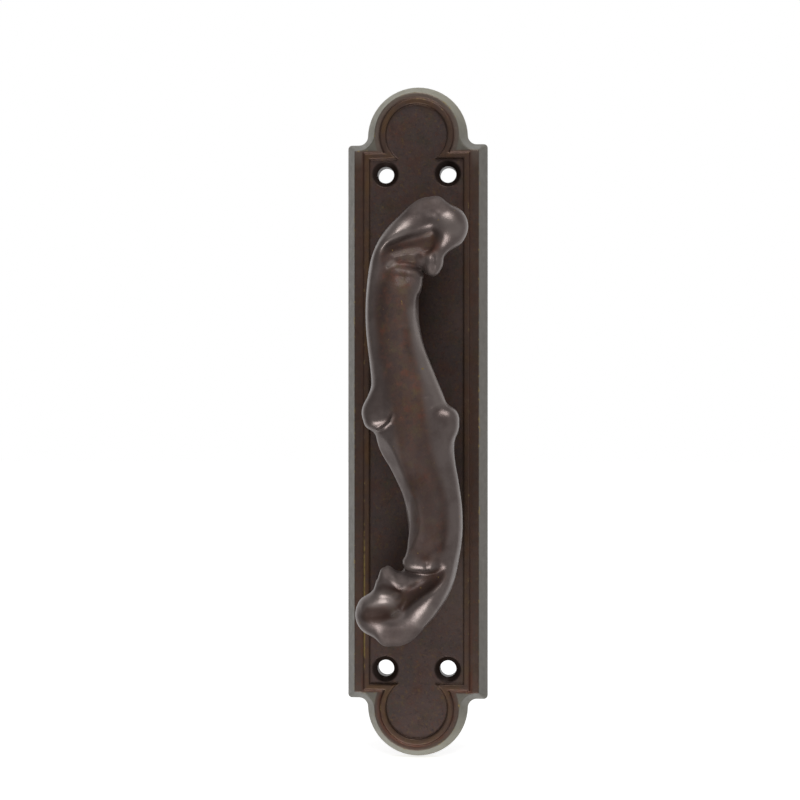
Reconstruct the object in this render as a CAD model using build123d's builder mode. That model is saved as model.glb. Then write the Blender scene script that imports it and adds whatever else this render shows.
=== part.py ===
"""Cremone bolt for a casement window: domed escutcheon plate, sculpted turn handle and the rack gear behind.

Frame: the origin is on the spindle axis at the back face of the plate. +X is to the right seen from the
room, +Y goes into the stile and +Z is up. The room, with the handle, is on the -Y side. Millimetres.
"""

import math
import os

from build123d import *

# Escutcheon plate
PLATE_HEIGHT = 220.0
PLATE_WIDTH = 46.0
PLATE_THICKNESS = 6.5
SHOULDER_DROP = 18.9  # from the crown of a dome down to the shoulder beside it
SHOULDER_FLAT = 0.41  # straight length left on a shoulder, at the top of the bevel
COVE_RADIUS = 3.0  # hollow corner between a dome and its shoulder
CORNER_RADIUS = 1.3
FRONT_CORNER_RADIUS = 0.4
EDGE_LAND = 0.8  # upright edge below the bevel
BEVEL_WIDTH = 2.7
BEAD_SIDE_INSET = 5.6  # from the outline to the raised bead, along the sides
BEAD_DOME_INSET = 4.4
BEAD_SHOULDER_INSET = 3.4
BEAD_WIDTH = 2.1
BEAD_HEIGHT = 0.7
BEAD_ROUND = 0.5
FIELD_SINK = 0.3  # the panel inside the bead lies this much lower

# Wood screw holes in the plate
SCREW_SPACING_X = 20.4
SCREW_SPACING_Z = 161.4
SCREW_HOLE_RADIUS = 2.7
COUNTERSINK_RADIUS = 4.2
COUNTERSINK_ANGLE = 90

# Handle and its bearing in the plate
HANDLE_LIFT = 25.0  # from the plate's back face to the middle of the handle
NECK_RADIUS = 9.0
JOURNAL_RADIUS = 8.0
NECK_CLEARANCE = 0.1  # between the neck's shoulder and the plate
JOURNAL_CLEARANCE = 0.05
RECESS_RADIUS = 12.4
RECESS_DEPTH = 2.6
WASHER_THICKNESS = 0.8
WASHER_RIM = 3.4
RING_THICKNESS = 0.95
RING_RIM = 2.8
RING_GAP_ANGLE = 46
GROOVE_DEPTH = 0.6
RING_PLAY = 0.05
JOURNAL_LIP = 0.3  # left behind the groove

# Square spindle
SPINDLE_SIDE = 7.0
SPINDLE_REACH = 21.0  # in front of the plate's back face
SPINDLE_CHAMFER = 0.7
SPINDLE_STAND = 0.3  # proud of the rear hub
SOCKET_CLEARANCE = 0.1
SOCKET_EXTRA_DEPTH = 1.0

# Rack gear
TOOTH_MODULE = 1.25
PINION_TEETH = 16
PRESSURE_ANGLE = 20.0
BACKLASH = 0.16
QUARTER_TURN = math.pi / 2  # the handle's travel
RACK_THICKNESS = 4.0
RACK_BACKING = 1.7
RACK_OVERRUN = 0.5  # toothed length past the pinion at the end of the travel
SIDE_CLEARANCE = 0.1  # between sliding faces
FRONT_HUB_RADIUS = 8.0
REAR_HUB_RADIUS = 9.8
HUB_CLEARANCE = 0.08
HUB_STAND = 1.8  # proud of the rear gear plate
HUB_EDGE = 0.4

# Gear case
GEAR_PLATE_THICKNESS = 2.0
RAIL_WALL = 1.5
FRAME_RECESS = 0.6  # the spacer frame is set back from the edge of the gear plates
END_LAND = 14.8
SLOT_WIDTH = 9.0
SLOT_WEB = 0.6  # from the pinion's tips to the inner end of a slot
GUIDE_LENGTH = 14.0
GUIDE_STAND = 0.4  # proud of the rear gear plate
STOP_CLEARANCE = 0.15
RIVET_SPREAD = 12.0
RIVET_RADIUS = 2.0
RIVET_HEAD_DEPTH = 1.0
PRESS_CLEARANCE = 0.02

# Drive pins
PIN_RADIUS = 3.2
PIN_LENGTH = 24.0
PIN_CHAMFER = 0.9
COLLAR_RADIUS = 4.3
COLLAR_LENGTH = 4.0
SPIGOT_RADIUS = 2.6

# Half of the handle, from its middle to the upper end. The lower half is the same, turned half a turn.
# Each row is x, z, forward of the middle plane, half width, half depth.
BODY = [
    (0.0, 0.0, 0.0, 10.6, 7.8),
    (-2.0, 11.5, -0.2, 10.2, 7.4),
    (-4.7, 21.0, -0.6, 9.1, 6.8),
    (-6.4, 30.0, -1.0, 8.5, 6.2),
    (-7.9, 38.5, -1.4, 7.3, 5.6),
    (-8.7, 46.3, -1.6, 5.3, 5.2),
    (-6.7, 53.5, -1.6, 4.8, 5.2),
    (-3.4, 59.2, -1.6, 4.9, 5.3),
    (0.8, 63.4, -1.6, 5.2, 5.5),
    (5.4, 65.4, -1.6, 5.5, 5.6),
    (9.2, 64.4, -1.6, 5.3, 5.5),
    (12.2, 62.3, -1.6, 4.2, 4.6),
]
STEM = [
    (-2.6, 17.0, -2.5, 3.4, 4.6),
    (-3.9, 25.0, 0.9, 6.2, 5.7),
    (-4.4, 34.0, 1.0, 5.9, 5.6),
    (-3.9, 40.5, 1.1, 5.6, 5.4),
    (-3.1, 45.4, 1.2, 6.1, 5.2),
    (-2.8, 47.2, 1.2, 5.6, 4.6),
    (-2.7, 48.4, 1.2, 4.0, 3.0),
]
HOLLOW = [
    (-6.2, 49.0, -2.6, 3.6, 3.4),
    (-2.4, 53.2, -2.8, 6.0, 3.6),
    (3.4, 58.0, -2.8, 7.0, 3.8),
    (9.4, 61.0, -2.4, 5.0, 4.2),
]
TENDRIL = [
    (12.4, 59.4, -1.4, 4.4, 4.6),
    (11.0, 55.2, -1.4, 3.3, 3.8),
    (9.2, 52.0, -1.2, 2.5, 3.0),
    (7.6, 49.6, -1.0, 2.4, 2.6),
]
# Balls of the same half: x, z, forward of the middle plane, radius.
TIP_BULB = (12.0, 61.5, -1.2, 5.95)
BEAD_BULB = (7.2, 48.9, -0.8, 3.3)
KNUCKLE = (-10.5, 2.8, 0.8, 5.5)
SECTION_FULLNESS = 2.2  # 2 is an ellipse, and more is squarer

# Sizes that follow from those above
shoulder_z = PLATE_HEIGHT / 2 - SHOULDER_DROP
cove_end_x = PLATE_WIDTH / 2 - BEVEL_WIDTH - FRONT_CORNER_RADIUS - SHOULDER_FLAT  # cove meets shoulder
dome_radius = (cove_end_x**2 / SHOULDER_DROP + SHOULDER_DROP) / 2 - COVE_RADIUS
dome_z = PLATE_HEIGHT / 2 - dome_radius
bead_half_width = PLATE_WIDTH / 2 - BEAD_SIDE_INSET
bead_shoulder_z = shoulder_z - BEAD_SHOULDER_INSET
bead_lobe_radius = dome_radius - BEAD_DOME_INSET
recess_floor = -RECESS_DEPTH
groove_front = recess_floor + WASHER_THICKNESS + RING_PLAY
groove_width = RING_THICKNESS + 2 * RING_PLAY
groove_radius = JOURNAL_RADIUS - GROOVE_DEPTH
journal_end = groove_front + groove_width + JOURNAL_LIP
neck_foot = -PLATE_THICKNESS - NECK_CLEARANCE

pitch_radius = TOOTH_MODULE * PINION_TEETH / 2
tip_radius = pitch_radius + TOOTH_MODULE
root_depth = 1.25 * TOOTH_MODULE
tooth_pitch = math.pi * TOOTH_MODULE
flank_slope = math.tan(math.radians(PRESSURE_ANGLE))
travel = pitch_radius * QUARTER_TURN
rack_tip = pitch_radius - TOOTH_MODULE
rack_root = pitch_radius + root_depth
rack_back = rack_root + RACK_BACKING
contact_reach = math.sqrt(tip_radius**2 - rack_tip**2)  # height over which tips reach into the rack
rack_foot = -travel - contact_reach - RACK_OVERRUN
window_half_width = rack_back + SIDE_CLEARANCE
case_half_width = window_half_width + RAIL_WALL + FRAME_RECESS
gear_gap = RACK_THICKNESS + 2 * SIDE_CLEARANCE
gap_rear = GEAR_PLATE_THICKNESS + gear_gap
case_rear = gap_rear + GEAR_PLATE_THICKNESS
rack_front = GEAR_PLATE_THICKNESS + SIDE_CLEARANCE
rack_rear = rack_front + RACK_THICKNESS
slot_inner = tip_radius + SLOT_WEB
guide_inner = slot_inner + STOP_CLEARANCE
guide_outer = guide_inner + GUIDE_LENGTH
guide_half_width = SLOT_WIDTH / 2 - SIDE_CLEARANCE
guide_rear = case_rear + GUIDE_STAND
slot_outer = guide_outer + travel + STOP_CLEARANCE
slot_length = slot_outer - slot_inner
slot_z = (slot_inner + slot_outer) / 2
pin_z = (guide_inner + guide_outer) / 2
window_half_height = slot_outer + SIDE_CLEARANCE
case_half_height = window_half_height + END_LAND
rivet_z = window_half_height + END_LAND / 2
hub_rear = case_rear + HUB_STAND


def at(y):
    """The upright plane at that Y: local x is +X, local y is +Z and the normal points into the room."""
    return Plane.XZ.offset(-y)


def draw_plate(sketch, inset, cove, corner):
    """Outline of the plate drawn in by inset: a tall rectangle with a dome at each end."""
    half_width = PLATE_WIDTH / 2 - inset
    Rectangle(2 * half_width, 2 * (shoulder_z - inset))
    with Locations((0, dome_z), (0, -dome_z)):
        Circle(dome_radius - inset)
    fillet(sketch.vertices().filter_by(lambda v: abs(v.X) < half_width - 1e-3), radius=cove)
    fillet(sketch.vertices().filter_by(lambda v: abs(v.X) > half_width - 1e-3), radius=corner)


def draw_panel(inset):
    """Outline of the panel drawn in by inset from the outer side of the bead."""
    Rectangle(2 * (bead_half_width - inset), 2 * (bead_shoulder_z - inset))
    with Locations((0, dome_z), (0, -dome_z)):
        Circle(bead_lobe_radius - inset)


# Escutcheon plate: bevelled casting with a raised bead round a sunk panel
with BuildPart() as plate:
    with BuildSketch(at(0)) as foot_outline:
        draw_plate(foot_outline, 0, COVE_RADIUS, CORNER_RADIUS)
    extrude(amount=EDGE_LAND)
    with BuildSketch(at(-EDGE_LAND)) as bevel_foot:
        draw_plate(bevel_foot, 0, COVE_RADIUS, CORNER_RADIUS)
    with BuildSketch(at(-PLATE_THICKNESS)) as bevel_top:
        draw_plate(bevel_top, BEVEL_WIDTH, COVE_RADIUS + BEVEL_WIDTH, FRONT_CORNER_RADIUS)
    loft(ruled=True)
    with BuildSketch(at(-PLATE_THICKNESS)) as bead_outline:
        draw_panel(0)
    extrude(amount=BEAD_HEIGHT)
    with BuildSketch(at(-PLATE_THICKNESS - BEAD_HEIGHT)) as field_outline:
        draw_panel(BEAD_WIDTH)
    extrude(amount=-BEAD_HEIGHT - FIELD_SINK, mode=Mode.SUBTRACT)
    fillet(plate.faces().sort_by(Axis.Y)[0].edges(), radius=BEAD_ROUND)
    with Locations(at(FIELD_SINK - PLATE_THICKNESS)):
        with GridLocations(SCREW_SPACING_X, SCREW_SPACING_Z, 2, 2):
            CounterSinkHole(SCREW_HOLE_RADIUS, COUNTERSINK_RADIUS, counter_sink_angle=COUNTERSINK_ANGLE)
    with BuildSketch(at(0)) as bearing_bore:
        Circle(JOURNAL_RADIUS + JOURNAL_CLEARANCE)
    extrude(amount=PLATE_THICKNESS, mode=Mode.SUBTRACT)
    with BuildSketch(at(0)) as ring_recess:
        Circle(RECESS_RADIUS)
    extrude(amount=RECESS_DEPTH, mode=Mode.SUBTRACT)
plate.part.label = "escutcheon_plate"


def limb(stations):
    """Lofts a limb of the handle through its stations, each section square to the line of the limb."""
    spots = [Vector(x, -HANDLE_LIFT - forward, z) for x, z, forward, _, _ in stations]
    behind = [spots[0]] + spots[:-1]
    ahead = spots[1:] + [spots[-1]]
    corner = 0.5 ** (1 / SECTION_FULLNESS)
    with BuildPart() as piece:
        for spot, back, front, station in zip(spots, behind, ahead, stations):
            width = station[3]
            depth = station[4]
            side = corner * width
            face = corner * depth
            with BuildSketch(Plane(spot, x_dir=(0, -1, 0), z_dir=front - back)):
                with BuildLine():
                    Spline((depth, 0), (face, side), (0, width), tangents=[(0, 1), (-1, 0)])
                    Spline((0, width), (-face, side), (-depth, 0), tangents=[(-1, 0), (0, -1)])
                    Spline((-depth, 0), (-face, -side), (0, -width), tangents=[(0, -1), (1, 0)])
                    Spline((0, -width), (face, -side), (depth, 0), tangents=[(1, 0), (0, 1)])
                make_face()
        loft()
    return piece.part


def ball(x, z, forward, radius):
    """A ball of the handle."""
    with BuildPart(Plane((x, -HANDLE_LIFT - forward, z))) as piece:
        Sphere(radius)
    return piece.part


lower_body = [(-x, -z, forward, width, depth) for x, z, forward, width, depth in reversed(BODY[1:])]
body = limb(lower_body + BODY)
scroll = [limb(STEM), limb(HOLLOW), ball(*TIP_BULB), limb(TENDRIL), ball(*BEAD_BULB), ball(*KNUCKLE)]

# Handle: one casting, with a round neck that turns in the plate and a square socket for the spindle
with BuildPart() as handle:
    add(body)
    for piece in scroll:
        add(piece)
        add(piece.rotate(Axis.Y, 180))
    with BuildSketch(at(neck_foot)) as neck_section:
        Circle(NECK_RADIUS)
    extrude(amount=HANDLE_LIFT + neck_foot)
    with BuildSketch(at(journal_end)) as journal_section:
        Circle(JOURNAL_RADIUS)
    extrude(amount=journal_end - neck_foot)
    with BuildSketch(at(groove_front + groove_width)) as groove:
        Circle(JOURNAL_RADIUS)
        Circle(groove_radius, mode=Mode.SUBTRACT)
    extrude(amount=groove_width, mode=Mode.SUBTRACT)
    with BuildSketch(at(journal_end)) as socket:
        Rectangle(SPINDLE_SIDE + 2 * SOCKET_CLEARANCE, SPINDLE_SIDE + 2 * SOCKET_CLEARANCE)
    extrude(amount=SPINDLE_REACH + SOCKET_EXTRA_DEPTH + journal_end, mode=Mode.SUBTRACT)
handle.part.label = "handle"

# Thrust washer between the plate and the retaining ring
with BuildPart() as washer:
    with BuildSketch(at(recess_floor + WASHER_THICKNESS)):
        Circle(JOURNAL_RADIUS + WASHER_RIM)
        Circle(JOURNAL_RADIUS + JOURNAL_CLEARANCE, mode=Mode.SUBTRACT)
    extrude(amount=WASHER_THICKNESS)
washer.part.label = "thrust_washer"

# Retaining ring, an open ring sprung into the groove of the neck
with BuildPart() as ring:
    with BuildSketch(at(groove_front + RING_PLAY + RING_THICKNESS)):
        Circle(groove_radius + RING_RIM)
        Circle(groove_radius + PRESS_CLEARANCE, mode=Mode.SUBTRACT)
        gap_reach = 2 * (groove_radius + RING_RIM)
        gap_half = gap_reach * math.tan(math.radians(RING_GAP_ANGLE / 2))
        Polygon((0, 0), (gap_half, -gap_reach), (-gap_half, -gap_reach), align=None, mode=Mode.SUBTRACT)
    extrude(amount=RING_THICKNESS)
    fillet(ring.edges().filter_by(Axis.Y), radius=RING_RIM / 4)
ring.part.label = "retaining_ring"


def draw_case(inset):
    """Upright stadium of the gear case, drawn in by inset."""
    SlotOverall(2 * (case_half_height - inset), 2 * (case_half_width - inset), rotation=90)


def draw_slots():
    """The two upright slots of a gear plate."""
    with Locations((0, slot_z), (0, -slot_z)):
        Rectangle(SLOT_WIDTH, slot_length, mode=Mode.SUBTRACT)


def draw_rivet_holes():
    """The four rivet holes of a case layer."""
    with GridLocations(RIVET_SPREAD, 2 * rivet_z, 2, 2):
        Circle(RIVET_RADIUS + PRESS_CLEARANCE, mode=Mode.SUBTRACT)


def rivet_rims(layer):
    """The rims of the rivet holes in a gear plate, sorted from the room to the stile."""
    rims = layer.edges().filter_by(GeomType.CIRCLE)
    rims = rims.filter_by(lambda rim: abs(rim.radius - RIVET_RADIUS - PRESS_CLEARANCE) < 1e-4)
    return rims.group_by(Axis.Y)


# Front gear plate, flat against the back of the escutcheon
with BuildPart() as front_plate:
    with BuildSketch(at(GEAR_PLATE_THICKNESS)):
        draw_case(0)
        draw_slots()
        Circle(FRONT_HUB_RADIUS + HUB_CLEARANCE, mode=Mode.SUBTRACT)
        draw_rivet_holes()
    extrude(amount=GEAR_PLATE_THICKNESS)
    chamfer(rivet_rims(front_plate)[0], length=RIVET_HEAD_DEPTH)
front_plate.part.label = "front_gear_plate"

# Rear gear plate, towards the stile, with the rear hub of the pinion in its middle
with BuildPart() as rear_plate:
    with BuildSketch(at(case_rear)):
        draw_case(0)
        draw_slots()
        Circle(REAR_HUB_RADIUS + HUB_CLEARANCE, mode=Mode.SUBTRACT)
        draw_rivet_holes()
    extrude(amount=GEAR_PLATE_THICKNESS)
    chamfer(rivet_rims(rear_plate)[-1], length=RIVET_HEAD_DEPTH)
rear_plate.part.label = "rear_gear_plate"

# Spacer frame between the gear plates, whose long sides guide the backs of the racks
with BuildPart() as frame:
    with BuildSketch(at(gap_rear)):
        draw_case(FRAME_RECESS)
        Rectangle(2 * window_half_width, 2 * window_half_height, mode=Mode.SUBTRACT)
        draw_rivet_holes()
    extrude(amount=gear_gap)
frame.part.label = "spacer_frame"

# Case rivets with countersunk heads ground flush on both sides
with BuildPart() as rivets:
    with BuildSketch(at(case_rear)):
        with GridLocations(RIVET_SPREAD, 2 * rivet_z, 2, 2):
            Circle(RIVET_RADIUS)
    extrude(amount=case_rear)
    for face_plane in (at(case_rear), -at(0)):
        with BuildSketch(face_plane):
            with GridLocations(RIVET_SPREAD, 2 * rivet_z, 2, 2):
                Circle(RIVET_RADIUS + RIVET_HEAD_DEPTH)
        extrude(amount=RIVET_HEAD_DEPTH, taper=45)
rivets.part.label = "case_rivets"

# One pinion tooth, symmetrical about local x, with arcs for its involute flanks
pressure = math.radians(PRESSURE_ANGLE)
base_radius = pitch_radius * math.cos(pressure)
half_tooth = (tooth_pitch - BACKLASH) / 4 / pitch_radius
flank_start = half_tooth + math.tan(pressure) - pressure


def flank_point(radius, side):
    """Point of a tooth flank at that radius, on the side +1 or -1."""
    roll = math.sqrt(radius**2 - base_radius**2) / base_radius
    angle = flank_start - roll + math.atan(roll)
    return (radius * math.cos(angle), side * radius * math.sin(angle))


with BuildSketch() as tooth:
    with BuildLine():
        foot_x = 0.9 * (pitch_radius - root_depth)
        foot_y = base_radius * math.sin(flank_start)
        left = [flank_point(radius, 1) for radius in (base_radius, pitch_radius, tip_radius)]
        right = [flank_point(radius, -1) for radius in (base_radius, pitch_radius, tip_radius)]
        ThreePointArc(left[0], left[1], left[2])
        ThreePointArc(left[2], (tip_radius, 0), right[2])
        ThreePointArc(right[2], right[1], right[0])
        Polyline(right[0], (foot_x, -foot_y), (foot_x, foot_y), left[0])
    make_face()

# Pinion with a hub on each side and a square hole for the spindle
with BuildPart() as pinion:
    with BuildSketch(at(rack_rear)):
        Circle(pitch_radius - root_depth)
        with PolarLocations(0, PINION_TEETH):
            add(tooth.sketch)
    extrude(amount=RACK_THICKNESS)
    with BuildSketch(at(rack_front)):
        Circle(FRONT_HUB_RADIUS)
    extrude(amount=rack_front - SIDE_CLEARANCE)
    with BuildSketch(at(hub_rear)):
        Circle(REAR_HUB_RADIUS)
    extrude(amount=hub_rear - gap_rear)
    chamfer(pinion.faces().sort_by(Axis.Y)[-1].edges(), length=HUB_EDGE)
    with BuildSketch(at(gap_rear)):
        Circle(pitch_radius - root_depth)
    extrude(amount=gap_rear - rack_rear)
    with BuildSketch(at(hub_rear)):
        Rectangle(SPINDLE_SIDE + 2 * PRESS_CLEARANCE, SPINDLE_SIDE + 2 * PRESS_CLEARANCE)
    extrude(amount=hub_rear, mode=Mode.SUBTRACT)
pinion.part.label = "pinion"

# Square spindle from the rear hub through the plate into the handle
with BuildPart() as spindle:
    with BuildSketch(at(hub_rear + SPINDLE_STAND)):
        Rectangle(SPINDLE_SIDE, SPINDLE_SIDE)
    extrude(amount=hub_rear + SPINDLE_STAND + SPINDLE_REACH)
    chamfer(spindle.faces().sort_by(Axis.Y)[0].edges(), length=SPINDLE_CHAMFER)
    chamfer(spindle.faces().sort_by(Axis.Y)[-1].edges(), length=SPINDLE_STAND)
spindle.part.label = "spindle"

# Upper rack: a toothed leg on the -X side of the pinion, a carriage above it and a guide in the slots
with BuildPart() as upper_rack:
    with BuildSketch(at(rack_rear)):
        with Locations((-(rack_back + rack_tip) / 2, (guide_outer + rack_foot) / 2)):
            Rectangle(rack_back - rack_tip, guide_outer - rack_foot)
        with Locations(((guide_half_width - rack_back) / 2, pin_z)):
            Rectangle(rack_back + guide_half_width, GUIDE_LENGTH)
        gap_mid = (tooth_pitch + BACKLASH) / 4
        gap_mouth = gap_mid + 2 * TOOTH_MODULE * flank_slope
        gap_floor = gap_mid - root_depth * flank_slope
        mouth_x = rack_tip - TOOTH_MODULE
        spaces_below = math.ceil(-rack_foot / tooth_pitch)
        spaces_above = math.ceil(contact_reach / tooth_pitch)
        for step in range(-spaces_below, spaces_above + 1):
            with Locations((0, step * tooth_pitch)):
                Polygon(
                    (-mouth_x, gap_mouth),
                    (-rack_root, gap_floor),
                    (-rack_root, -gap_floor),
                    (-mouth_x, -gap_mouth),
                    align=None,
                    mode=Mode.SUBTRACT,
                )
    extrude(amount=RACK_THICKNESS)
    with BuildSketch(at(guide_rear)):
        with Locations((0, pin_z)):
            Rectangle(2 * guide_half_width, GUIDE_LENGTH)
    extrude(amount=guide_rear - SIDE_CLEARANCE)
    with BuildSketch(at(guide_rear)):
        with Locations((0, pin_z)):
            Circle(SPIGOT_RADIUS + PRESS_CLEARANCE)
    extrude(amount=guide_rear, mode=Mode.SUBTRACT)
upper_rack.part.label = "upper_rack"

# Upper drive pin: a spigot in the carriage, a collar on the guide and a plain pin for the rod
with BuildPart() as upper_pin:
    with BuildSketch(at(guide_rear)):
        with Locations((0, pin_z)):
            Circle(SPIGOT_RADIUS)
    extrude(amount=guide_rear - SIDE_CLEARANCE)
    with BuildSketch(at(guide_rear + COLLAR_LENGTH)):
        with Locations((0, pin_z)):
            Circle(COLLAR_RADIUS)
    extrude(amount=COLLAR_LENGTH)
    with BuildSketch(at(guide_rear + COLLAR_LENGTH + PIN_LENGTH)):
        with Locations((0, pin_z)):
            Circle(PIN_RADIUS)
    extrude(amount=PIN_LENGTH)
    chamfer(upper_pin.faces().sort_by(Axis.Y)[-1].edges(), length=PIN_CHAMFER)
upper_pin.part.label = "upper_drive_pin"

# The lower rack and pin are the same, turned half a turn about the spindle
with BuildPart() as lower_rack:
    add(upper_rack.part.rotate(Axis.Y, 180))
lower_rack.part.label = "lower_rack"

with BuildPart() as lower_pin:
    add(upper_pin.part.rotate(Axis.Y, 180))
lower_pin.part.label = "lower_drive_pin"

os.makedirs("parts", exist_ok=True)
export_step(plate.part, "parts/escutcheon_plate.step")
export_step(handle.part, "parts/handle.step")
export_step(washer.part, "parts/thrust_washer.step")
export_step(ring.part, "parts/retaining_ring.step")
export_step(front_plate.part, "parts/front_gear_plate.step")
export_step(rear_plate.part, "parts/rear_gear_plate.step")
export_step(frame.part, "parts/spacer_frame.step")
export_step(rivets.part, "parts/case_rivets.step")
export_step(pinion.part, "parts/pinion.step")
export_step(spindle.part, "parts/spindle.step")
export_step(upper_rack.part, "parts/upper_rack.step")
export_step(upper_pin.part, "parts/upper_drive_pin.step")
export_step(lower_rack.part, "parts/lower_rack.step")
export_step(lower_pin.part, "parts/lower_drive_pin.step")
print("travel", round(travel, 3), "case", round(2 * case_half_width, 2), "x", round(2 * case_half_height, 2))
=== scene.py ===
# %% [markdown]
# # A bronzed cremone bolt
# A cremone bolt locks a tall casement window. A cast plate is screwed to the stile, a handle turns on it,
# and a small gear behind the plate pushes one rod up and another down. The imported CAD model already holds
# every solid and every joint in metres, so this lesson only gives it its looks: a sculpted handle, softened
# cast edges, worn bronzed brass and oiled steel.

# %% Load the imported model
import math

import bpy
import numpy as np
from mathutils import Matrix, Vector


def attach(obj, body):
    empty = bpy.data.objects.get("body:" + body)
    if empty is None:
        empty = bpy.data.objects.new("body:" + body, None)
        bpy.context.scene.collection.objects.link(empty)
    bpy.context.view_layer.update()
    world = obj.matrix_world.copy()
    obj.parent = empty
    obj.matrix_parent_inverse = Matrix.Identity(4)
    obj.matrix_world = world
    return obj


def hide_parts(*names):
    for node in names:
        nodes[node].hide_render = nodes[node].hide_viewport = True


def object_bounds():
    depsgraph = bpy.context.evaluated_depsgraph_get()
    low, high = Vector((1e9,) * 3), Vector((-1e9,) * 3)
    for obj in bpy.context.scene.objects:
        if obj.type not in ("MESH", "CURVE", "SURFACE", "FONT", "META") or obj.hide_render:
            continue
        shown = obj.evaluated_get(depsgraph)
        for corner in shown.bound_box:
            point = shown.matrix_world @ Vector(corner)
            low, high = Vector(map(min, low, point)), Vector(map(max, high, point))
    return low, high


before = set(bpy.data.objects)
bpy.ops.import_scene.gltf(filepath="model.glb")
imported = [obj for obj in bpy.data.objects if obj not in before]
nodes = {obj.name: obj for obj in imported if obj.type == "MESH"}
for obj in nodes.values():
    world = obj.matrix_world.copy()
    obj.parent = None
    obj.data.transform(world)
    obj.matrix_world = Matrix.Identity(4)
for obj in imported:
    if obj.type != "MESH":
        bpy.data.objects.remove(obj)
cad_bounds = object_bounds()
MM = 0.001

# %% [markdown]
# ## The camera
# The bolt was photographed almost square on, from a little to the right of the middle, because the right
# bevel shows wider than the left one. A camera at about half a metre gives the same slight spread of the
# handle, which stands nearer than the plate. The lens shift moves the bolt right of the middle of the frame
# without turning the view, as a view camera does.

# %% Camera
def placed(name, data):
    """A new object with that data, linked into the scene."""
    made = bpy.data.objects.new(name, data)
    bpy.context.scene.collection.objects.link(made)
    return made


VIEW_TURN = math.radians(4.2)
VIEW_DISTANCE = 0.56
camera_data = bpy.data.cameras.new("camera")
camera_data.sensor_width = 36.0
camera_data.lens = 76.4
camera_data.shift_x = -0.0225
camera_data.shift_y = 0.0269
camera_data.clip_start = 0.01
camera = placed("camera", camera_data)
camera.location = (VIEW_DISTANCE * math.sin(VIEW_TURN), -VIEW_DISTANCE * math.cos(VIEW_TURN), 0)
camera.rotation_euler = (math.radians(90), 0, VIEW_TURN)
bpy.context.scene.camera = camera
print("camera", VIEW_DISTANCE, "m away, turned", round(math.degrees(VIEW_TURN), 1), "degrees")

# %% [markdown]
# ## Helpers for colours and nodes
# Colours are written as the sRGB hex values that a picture shows, and one function turns them into the
# linear numbers that the renderer adds up. Every material below is a small node tree, and one function adds
# a node, sets its options and joins its inputs, so that a tree reads as a list of steps. Some nodes have
# several inputs of one name, so inputs are also given by number: Map Range takes the value at 0, the range
# it comes from at 1 and 2 and the range it goes to at 3 and 4, and Mix takes its share at 0 and its two
# colours at 6 and 7.

# %% Colour and node helpers
def paint(code):
    """Linear colour of an sRGB hex value: the low end is divided by 12.92, the rest follows a 2.4 power."""
    srgb = np.array([int(code[i:i + 2], 16) for i in (1, 3, 5)]) / 255
    linear = np.where(srgb <= 0.04045, srgb / 12.92, ((srgb + 0.055) / 1.055) ** 2.4)
    return (*linear.tolist(), 1.0)


def add(tree, kind, inputs, **settings):
    """Adds a node to a tree, sets its options, and links or sets its inputs by name or number."""
    node = tree.nodes.new("ShaderNode" + kind)
    for name, value in settings.items():
        setattr(node, name, value)
    for name, value in inputs.items():
        if isinstance(value, bpy.types.NodeSocket):
            tree.links.new(value, node.inputs[name])
        else:
            node.inputs[name].default_value = value
    return node


def empty_tree(owner):
    """The node tree of a world or a material, switched on and emptied."""
    owner.use_nodes = True
    owner.node_tree.nodes.clear()
    return owner.node_tree


def dress(mesh, material):
    """Gives a mesh that material and no other."""
    mesh.materials.clear()
    mesh.materials.append(material)


def per_mm(size):
    """Scale of a pattern in Object coordinates, which are metres, for a feature of that many millimetres."""
    return 1000.0 / size


print("helpers ready, for example #3b302e is", [round(v, 3) for v in paint("#3b302e")])

# %% [markdown]
# ## Light
# Small cast metal is photographed in soft light on white, and two broad lights reach it from the front, one
# high and one low. The white surround is what draws the thin bright line along every edge that turns away,
# so glossy rays see it too, while the side of the room behind the camera stays dimmer.

# %% World
# strengths of the white room: what it gives to matt surfaces, and what metal mirrors to its left and right
FILL = 0.42
ROOM_LEFT, ROOM_RIGHT = 0.22, 0.48
world = bpy.data.worlds.new("white_surround")
bpy.context.scene.world = world
tree = empty_tree(world)
rays = add(tree, "LightPath", {}).outputs
direction = add(tree, "TexCoord", {}).outputs["Generated"]
axes = add(tree, "SeparateXYZ", {0: direction}).outputs
behind = add(tree, "MapRange", {0: axes["Y"], 1: 0.02, 2: 0.6}, interpolation_type="SMOOTHSTEP").outputs[0]
room = add(tree, "MapRange", {0: axes["X"], 1: -0.3, 2: 0.7, 3: ROOM_LEFT, 4: ROOM_RIGHT}).outputs[0]
mirrored = add(tree, "Math", {0: behind, 1: room}, operation="MAXIMUM").outputs[0]
soft = add(tree, "Mix", {0: rays["Is Glossy Ray"], 2: FILL, 3: mirrored}).outputs[0]
seen = add(tree, "Math", {0: rays["Is Camera Ray"], 1: rays["Is Transmission Ray"]}, operation="MAXIMUM")
level = add(tree, "Math", {0: seen.outputs[0], 1: soft}, operation="MAXIMUM").outputs[0]
glow = add(tree, "Background", {"Color": (1, 1, 1, 1), "Strength": level})
add(tree, "OutputWorld", {"Surface": glow.outputs[0]})
print("world", world.name, "with", len(tree.nodes), "nodes")

# %% Lamps
# each lamp: its place and its side in metres, and its power in watts
LAMPS = {
    "top_softbox": ((0.06, -0.48, 0.62), 0.40, 3.0),
    "low_softbox": ((-0.12, -0.54, -0.56), 0.38, 3.3),
}
for name, (place, side, power) in LAMPS.items():
    softbox = bpy.data.lights.new(name, "AREA")
    softbox.size = side
    softbox.energy = power
    lamp = placed(name, softbox)
    lamp.location = place
    x, y, z = place
    lamp.rotation_euler = (math.pi / 2 - math.atan2(z, math.hypot(x, y)), 0, math.atan2(x, -y))
bpy.context.scene.view_settings.view_transform = "Standard"
print("lamps", list(LAMPS))

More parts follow.
